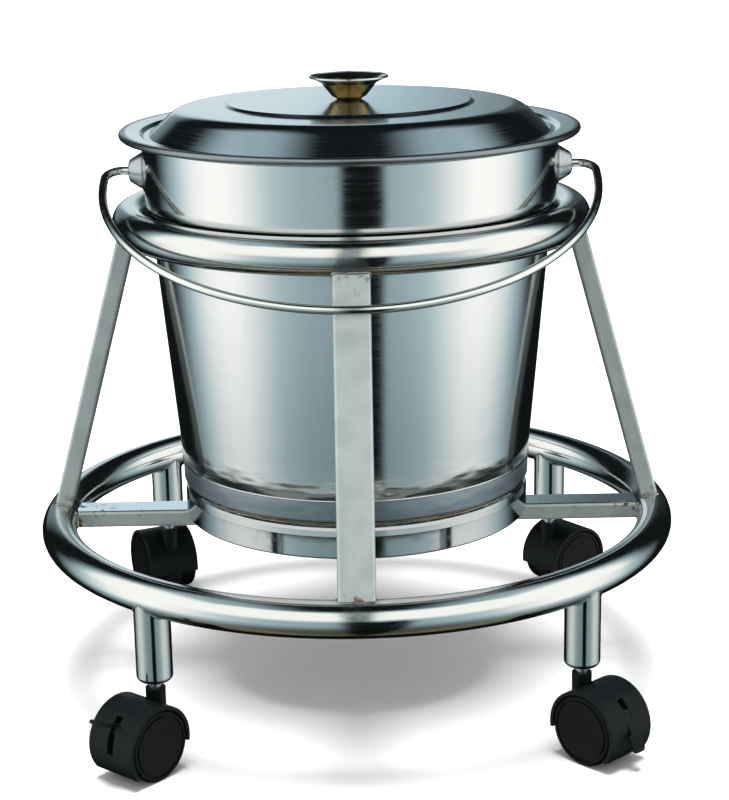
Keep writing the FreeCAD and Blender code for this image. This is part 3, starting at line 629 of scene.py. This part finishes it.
# %% Legs
LEG_R, LEG_HOLE_R, LEG_ROWS = 12.5, 4.6, 12
spun_end = profile([(LEG_HOLE_R, 3.0, 0), (LEG_HOLE_R, 0, 0.8), (LEG_R, 0, 4.0), (LEG_R, 25, 0)])
wall = np.column_stack([np.full(LEG_ROWS, LEG_R), np.linspace(27, 50, LEG_ROWS)])
leg_line = joined(spun_end, (wall, np.tile([1.0, 0.0], (LEG_ROWS, 1))))
FARTHEST, LEG_BITE = 160, 0.3           # just under TUBE_R squared; how far the edge sinks in
for corner, azimuth in AZIMUTHS.items():
    base = spoke(azimuth) * LOWER_R + UP * LEG_BOTTOM
    points, normals = spun(leg_line, base, turns=96)
    off = np.hypot(points[-1, :, 0], points[-1, :, 1]) / MM - LOWER_R
    rise = np.sqrt(TUBE_R ** 2 - np.minimum(off ** 2, FARTHEST))
    points[-1, :, 2] = (LOWER_Z - rise + LEG_BITE) * MM
    marks = to_welds(points, [base + UP * 52])
    leg = surface("leg_tube_" + corner, [(points, normals, marks)], leg_steel)
    mount(leg, "stand", "leg_tube", "leg_" + corner)

# %% [markdown]
# ## Weld beads
# Each bar or leg is joined to its ring by a small hand-laid bead, lumpy where the rod paused.
# A bead is a thin tube along the line where two surfaces meet. That line is found by
# sending straight lines along the bar until they meet the ring, and the tube's radius
# swells and shrinks with a few waves of different lengths.

# %% Metal of the beads
weld_metal, tree, shader = started("laid_weld_bead", "#9AA0A0", 0.34, 1.0)
at = add(tree, "TexCoord", output="Object")
lumps = add(tree, "TexNoise", (at, 1 / (2.2 * MM), 4.0))
tints = add(tree, "TexNoise", (at, 1 / (7 * MM), 2.0))
tints = add(tree, "MapRange", (tints, 0.45, 0.65), **EASED)
tints = add(tree, "Mix", (tints, "#A3A8A7", "#6E6A66"), data_type="RGBA")
tree.links.new(tints, shader["Base Color"])
bumped(tree, shader, (lumps, 0.25))

# %% Where bars and legs meet the rings
HALVINGS = 30


def reaches(start, way, length, centre_r, z):
    """Where lines from start along way meet a ring's tube: the stretch between a point
    outside it and one inside is halved again and again, for all lines at once."""
    low, high = np.zeros(len(start)), np.full(len(start), float(length))
    for _ in range(HALVINGS):
        middle = (low + high) / 2
        p = start + middle[:, None] * way
        inner = np.hypot(np.hypot(p[:, 0], p[:, 1]) - centre_r, p[:, 2] - z) < TUBE_R
        low, high = np.where(inner, low, middle), np.where(inner, middle, high)
    return start + low[:, None] * way


def oblong(width, thickness, corner, count=140):
    """Evenly spaced points round a rectangle with rounded corners, in mm. Each corner is its
    centre plus its radius times the cosine and sine of an angle over a quarter turn."""
    quarter = np.arange(24) // 6
    a = np.radians(np.arange(24) % 6 * 18 + quarter * 90)
    sign = np.array([[1, 1], [-1, 1], [-1, -1], [1, -1]])[quarter]
    loop = sign * [width / 2 - corner, thickness / 2 - corner] + corner * np.stack(
        [np.cos(a), np.sin(a)], 1)
    loop = np.concatenate([loop, loop[:1]])
    far = np.concatenate([[0], np.cumsum(np.linalg.norm(np.diff(loop, axis=0), axis=1))])
    s = np.linspace(0, far[-1], count, endpoint=False)
    return np.stack([np.interp(s, far, loop[:, 0]), np.interp(s, far, loop[:, 1])], 1)


def bead(line, size, seed):
    """Closed lumpy tube along a line: its radius is the size times one plus a few sine waves
    round the line, whose phases come from the seed."""
    along = unit(np.roll(line, -1, axis=0) - np.roll(line, 1, axis=0))
    side = unit(np.cross(along, line - line.mean(axis=0)))
    out = np.cross(side, along)
    s = np.linspace(0, 2 * np.pi, len(line), endpoint=False)[:, None]
    waves = np.array([5, 9, 14, 23, 31])
    phase = np.random.default_rng(seed).uniform(0, 2 * np.pi, len(waves))
    radius = size * (1 + 0.13 * np.sin(waves * s + phase).sum(axis=1))
    v = np.linspace(0, 2 * np.pi, 10, endpoint=False)[None, :, None]
    facing = np.cos(v) * out[:, None] + np.sin(v) * side[:, None]
    return (line[:, None] + radius[:, None, None] * facing) * MM, facing


# %% Weld beads
BAR_WIDE, BAR_THICK, BAR_CORNER, SEARCH = 25.0, 12.5, 2.2, 60
UPRIGHT_BEAD, BAR_BEAD, LEG_BEAD = 0.9, 1.3, 0.8
bar_loop = oblong(BAR_WIDE, BAR_THICK, BAR_CORNER)
leg_loop = oblong(2 * LEG_R, 2 * LEG_R, LEG_R - 0.001)
beads = {"upright_foot": [], "upright_head": [], "cross_bar": [], "leg": []}
for n, angle in enumerate(SIDES.values()):
    out = spoke(angle)
    across = np.cross(UP, out)
    foot_at, head_at = out * LOWER_R + UP * LOWER_Z, out * UPPER_R + UP * UPPER_Z
    rise = unit(head_at - foot_at)
    face = bar_loop[:, :1] * across + bar_loop[:, 1:] * np.cross(rise, across)
    line = reaches(foot_at + rise * SEARCH + face, -rise, SEARCH, LOWER_R, LOWER_Z)
    beads["upright_foot"].append(bead(line, UPRIGHT_BEAD, n))
    line = reaches(head_at - rise * SEARCH + face, rise, SEARCH, UPPER_R, UPPER_Z)
    beads["upright_head"].append(bead(line, UPRIGHT_BEAD, n + 4))
    face = bar_loop[:, :1] * across + bar_loop[:, 1:] * UP
    start = out * (LOWER_R - SEARCH) + UP * LOWER_Z + face
    line = reaches(start, out, SEARCH, LOWER_R, LOWER_Z)
    beads["cross_bar"].append(bead(line, BAR_BEAD, n + 8))
for n, azimuth in enumerate(AZIMUTHS.values()):
    face = leg_loop[:, :1] * np.array([1, 0, 0]) + leg_loop[:, 1:] * np.array([0, 1, 0])
    start = spoke(azimuth) * LOWER_R + UP * (LEG_BOTTOM + 20) + face
    line = reaches(start, UP, LOWER_Z - LEG_BOTTOM - 20, LOWER_R, LOWER_Z)
    beads["leg"].append(bead(line, LEG_BEAD, n + 12))
for name, grids in beads.items():
    made = surface("weld_beads_" + name, grids, weld_metal, closed_rows=True)
    mount(made, "stand", "ring_tube")

# %% [markdown]
# ## Bail and ears
# The bail is one length of drawn wire: an end in each ear, a bend, and a wide half circle
# that hangs forward, close to the front upright. A drawn wire is a circle carried along a
# path, closed at both ends by bringing its radius to nothing. Each ear is a small pressed cup.

# %% Wire of the bail
wire_steel, tree, shader = started("drawn_stainless_wire", "#D2D4CF", 0.2, 1.0)
at = add(tree, "TexCoord", output="Object")
scuffs = add(tree, "TexNoise", (at, 1 / (6 * MM), 5.0))
gloss = add(tree, "MapRange", (scuffs, 0.4, 0.7, 0.12, 0.20), **EASED)
tree.links.new(gloss, shader["Roughness"])
bumped(tree, shader, (scuffs, 0.002))
BAIL_Z, BAIL_W, REACH, BAIL_BEND, SHANK, WIRE_R = 383.65, 176.0, 159.6, 12.0, 18.4, 3.0
REST = math.radians(19.306)
half = np.concatenate([
    [[REACH - 2, 0], [REACH + 3, 0], [BAIL_W - BAIL_BEND, 0]],
    arc((BAIL_W - BAIL_BEND, -BAIL_BEND), BAIL_BEND, 86, 0, 14)[0],
    arc((0, -SHANK), BAIL_W, 0, -90, 110)[0],
])
path = np.concatenate([half, (half * [-1, 1])[-2::-1]])
path = np.column_stack([path, np.zeros(len(path))])
way = unit(np.gradient(path, axis=0))
order = np.concatenate([[0, 0, 0], np.arange(1, len(path) - 1), [len(path) - 1] * 3])
lean = np.radians(np.concatenate([[-90, -90], np.zeros(len(order) - 4), [90, 90]]))
radius = np.concatenate([[0], np.full(len(order) - 2, WIRE_R), [0]])
path, way = path[order], way[order]
v = np.linspace(0, 2 * np.pi, 28, endpoint=False)[None, :, None]
round_it = np.cos(v) * np.cross(way, UP)[:, None] + np.sin(v) * UP
points = path[:, None] + radius[:, None, None] * round_it
facing = np.cos(lean)[:, None, None] * round_it + np.sin(lean)[:, None, None] * way[:, None]
tip = np.array([[1, 0, 0], [0, math.cos(REST), math.sin(REST)],
                [0, -math.sin(REST), math.cos(REST)]])
bail = surface("bail_bent_wire", [((points @ tip + UP * BAIL_Z) * MM, facing @ tip)], wire_steel)
mount(bail, "bail", "wire", "bail_wire")


# %% Ears
EAR_Z = 254.2


def ear(side):
    """Pressed cup about a sideways axis: both faces of its sheet, with its foot trimmed to the
    round of the bucket's neck, x as the root of the neck's radius squared less y squared."""
    neck = NECK_R + (RIM_NECK_R - NECK_R) * (EAR_Z - STEP_TOP) / (RIM - STEP_TOP)
    flange, reach = NECK_R + 1.1 - BODY_R, REACH - BODY_R
    line = joined(
        profile([(15.3, 0, 0), (15.3, flange, 0.4), (14.0, flange, 1.5), (7.5, reach, 4.0),
                 (3.3, reach, 0)]),
        profile([(3.3, reach - 1.2, 0), (6.9, reach - 1.2, 3.0), (12.8, flange, 1.0),
                 (12.8, 0, 0)]))
    points, normals = spun(line, (side * BODY_R, 0, FOOT_Z + EAR_Z), (side, 0, 0), 96)
    for row in (0, -1):
        points[row, :, 0] = side * np.sqrt(((neck - 0.1) * MM) ** 2 - points[row, :, 1] ** 2)
    return points, normals


ear_steel, tree, shader = started("pressed_satin_cup", "#A5ABAD", 0.28, 1.0)
at = add(tree, "TexCoord", output="Object")
scuffs = add(tree, "TexNoise", (at, 1 / (4 * MM), 5.0))
gloss = add(tree, "MapRange", (scuffs, 0.35, 0.7, 0.20, 0.36), **EASED)
tree.links.new(gloss, shader["Roughness"])
bumped(tree, shader, (scuffs, 0.03))
for side, name in ((-1, "left"), (1, "right")):
    made = surface("ear_cup_" + name, [ear(side)], ear_steel)
    mount(made, "bucket", "ear_sheet", "ear_" + name)

# %% [markdown]
# ## Flat bars
# Uprights and cross bars are drawn flat tube with a satin face, brushed along its length. The
# eye sees a soft grey with a green cast and bright rounded edges. Near the welds it is
# stained straw and brown, with a few black pits of spatter. The level tops of the cross bars
# are a smooth mirror, and their paler colour is a painted highlight for the light they catch.
# Their solids are right as they are, so they only get a finish, and the stain is placed by
# the distance from the rings.


# %% Material of the bars
def bar_finish(name, squeeze, stain):
    """Satin bar with lines along one axis. stain builds a mask of the places by the welds."""
    material, tree, shader = started(name, "#C6CCC9", 0.4, 0.7)
    at = add(tree, "TexCoord", output="Object")
    brush = lines_in(tree, at, 0.9, squeeze)
    cloud = add(tree, "TexNoise", (at, 1 / (14 * MM), 6.0))
    place = add(tree, "SeparateXYZ", [at]).node.outputs
    near, height = stain(tree, place), place["Z"]
    mottled = add(tree, "MapRange", (cloud, 0.35, 0.7), **EASED)
    satin = add(tree, "Mix", (mottled, "#B1B9B6", "#A6AFAC"), data_type="RGBA")
    fine = add(tree, "TexNoise", (at, 1 / (6 * MM), 6.0))
    rusty = times(tree, near, add(tree, "MapRange", (fine, 0.53, 0.62), **EASED))
    char = add(tree, "MapRange", (fine, 0.58, 0.68), **EASED)
    burnt = add(tree, "Mix", (char, "#8A6B4A", "#3A2A1E"), data_type="RGBA")
    stained = add(tree, "Mix", (rusty, satin, burnt), data_type="RGBA")
    specks = add(tree, "TexVoronoi", {"Vector": at, "Scale": 1 / (4.5 * MM), "Randomness": 1.0})
    by_bars = add(tree, "MapRange", (height, (LOWER_Z + 8) * MM, (LOWER_Z + 22) * MM, 1, 0),
                  **EASED)
    pits = times(tree, add(tree, "MapRange", (specks, 0.09, 0.13, 1, 0), **EASED),
                 add(tree, "MapRange", (cloud, 0.50, 0.53), **EASED), by_bars)
    # Painted highlight: the level tops of the cross bars get a paler colour for the light they
    # catch, together with a mirror finish.
    level = between(tree, height, LOWER_Z + 5.6, LOWER_Z + 6.2, LOWER_Z + 6.4, LOWER_Z + 7)
    stained = add(tree, "Mix", (level, stained, "#E3E9EE"), data_type="RGBA")
    pitted = add(tree, "Mix", (pits, stained, "#1E1C1A"), data_type="RGBA")
    tree.links.new(pitted, shader["Base Color"])
    tree.links.new(add(tree, "Mix", (level, 0.7, 1.0)), shader["Metallic"])
    rough = add(tree, "MapRange", (brush, 0.3, 0.7, 0.36, 0.48), **EASED)
    rough = add(tree, "Mix", (level, rough, 0.12))
    tree.links.new(add(tree, "Mix", (rusty, rough, 0.6)), shader["Roughness"])
    bumped(tree, shader, (cloud, 0.03), (brush, 0.008), (pits, -0.1))
    return material


def by_the_ring(tree, place):
    """1 near the lower ring's inner side and 0 from 34 mm further in."""
    radius = from_axis(tree, place)
    return add(tree, "MapRange", (radius, (LOWER_R - 50) * MM, (LOWER_R - 16) * MM), **EASED)


def by_the_ends(tree, place):
    """1 just above the lower ring, 0.45 just under the upper one, and 0 in between."""
    height = place["Z"]
    top_end = add(tree, "MapRange", (height, (UPPER_Z - 30) * MM, (UPPER_Z - 10) * MM), **EASED)
    low_end = add(tree, "MapRange", (height, (LOWER_Z + 12) * MM, (LOWER_Z + 22) * MM, 1, 0),
                  **EASED)
    return add(tree, "Math", (times(tree, top_end, 0.45), low_end), operation="ADD")


upright_steel = bar_finish("satin_stainless_upright", (1, 1, 0.04), by_the_ends)
long_steel = bar_finish("satin_stainless_long_bar", (0.04, 1, 1), by_the_ring)
short_steel = bar_finish("satin_stainless_short_bar", (1, 0.04, 1), by_the_ring)


# %% [markdown]
# ## Moulded nylon, zinc and small steel
# Castor bodies, wheels and brake levers are moulded black nylon. The body's mould is spark
# eroded, which leaves a fine even grain, about 0.1 mm on the real one and drawn at 0.6 mm.
# The wheels are darker and a little glossier than the hoods.

# %% Materials of the castors and fasteners
def nylon(name, colour, rough, grain_mm, depth):
    """Moulded nylon: grain in the bump, and a slow change of gloss from handling."""
    material, tree, shader = started(name, colour, rough)
    shader["Specular IOR Level"].default_value = 0.08
    at = add(tree, "TexCoord", output="Object")
    grain = add(tree, "TexNoise", (at, 1 / (grain_mm * MM), 2.0))
    worn = add(tree, "TexNoise", (at, 1 / (11 * MM), 4.0))
    gloss = add(tree, "MapRange", (worn, 0.35, 0.7, rough * 0.85, rough * 1.25), **EASED)
    tree.links.new(gloss, shader["Roughness"])
    bumped(tree, shader, (grain, depth))
    return material


hood_nylon = nylon("spark_eroded_black_nylon", "#0E1213", 0.40, 0.6, 0.03)
wheel_nylon = nylon("smooth_black_nylon_wheel", "#040506", 0.34, 1.4, 0.015)
lever_nylon = nylon("smooth_black_nylon_lever", "#0D1112", 0.36, 0.8, 0.02)
socket_nylon = nylon("black_nylon_sleeve", "#0C0D0E", 0.5, 1.0, 0.02)

zinc, tree, shader = started("bright_zinc_plated_steel", "#A7ACB0", 0.3, 1.0)
at = add(tree, "TexCoord", output="Object")
cloud = add(tree, "TexNoise", (at, 1 / (2.5 * MM), 4.0))
gloss = add(tree, "MapRange", (cloud, 0.35, 0.7, 0.22, 0.42), **EASED)
tree.links.new(gloss, shader["Roughness"])
clouded = add(tree, "Mix", (cloud, "#A7ACB0", "#8D9296"), data_type="RGBA")
tree.links.new(clouded, shader["Base Color"])

fastener, tree, shader = started("turned_stainless_fastener", "#BFC3C2", 0.25, 1.0)
at = add(tree, "TexCoord", output="Object")
marks = lines_in(tree, at, 0.5, (0.1, 0.1, 1.0))
tree.links.new(add(tree, "MapRange", (marks, 0.3, 0.7, 0.18, 0.34), **EASED), shader["Roughness"])
bumped(tree, shader, (marks, 0.01))

# %% Finishes of the solids that stay
KINDS = [("_hood", hood_nylon), ("_wheel_right", wheel_nylon), ("_wheel_left", wheel_nylon),
         ("_brake_lever", lever_nylon), ("_stem", zinc), ("_axle", zinc),
         ("cross_bar_long", long_steel), ("cross_bar", short_steel), ("upright", upright_steel),
         ("leg_socket", socket_nylon), ("leg_", leg_steel), ("_ring", ring_steel),
         ("lid_knob", knob_steel), ("knob", fastener), ("lid_shell", lid_steel),
         ("bucket_shell", pail_steel), ("foot_skirt", foot_steel), ("bail_wire", wire_steel),
         ("ear_", ear_steel)]
for name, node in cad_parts.items():
    material = next(material for part, material in KINDS if part in name)
    node.data.materials.clear()
    node.data.materials.append(material)
print("finished solids", len(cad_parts))

# %% Measure and finish
low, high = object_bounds()
print("now", [round(v, 4) for v in (*low, *high)])
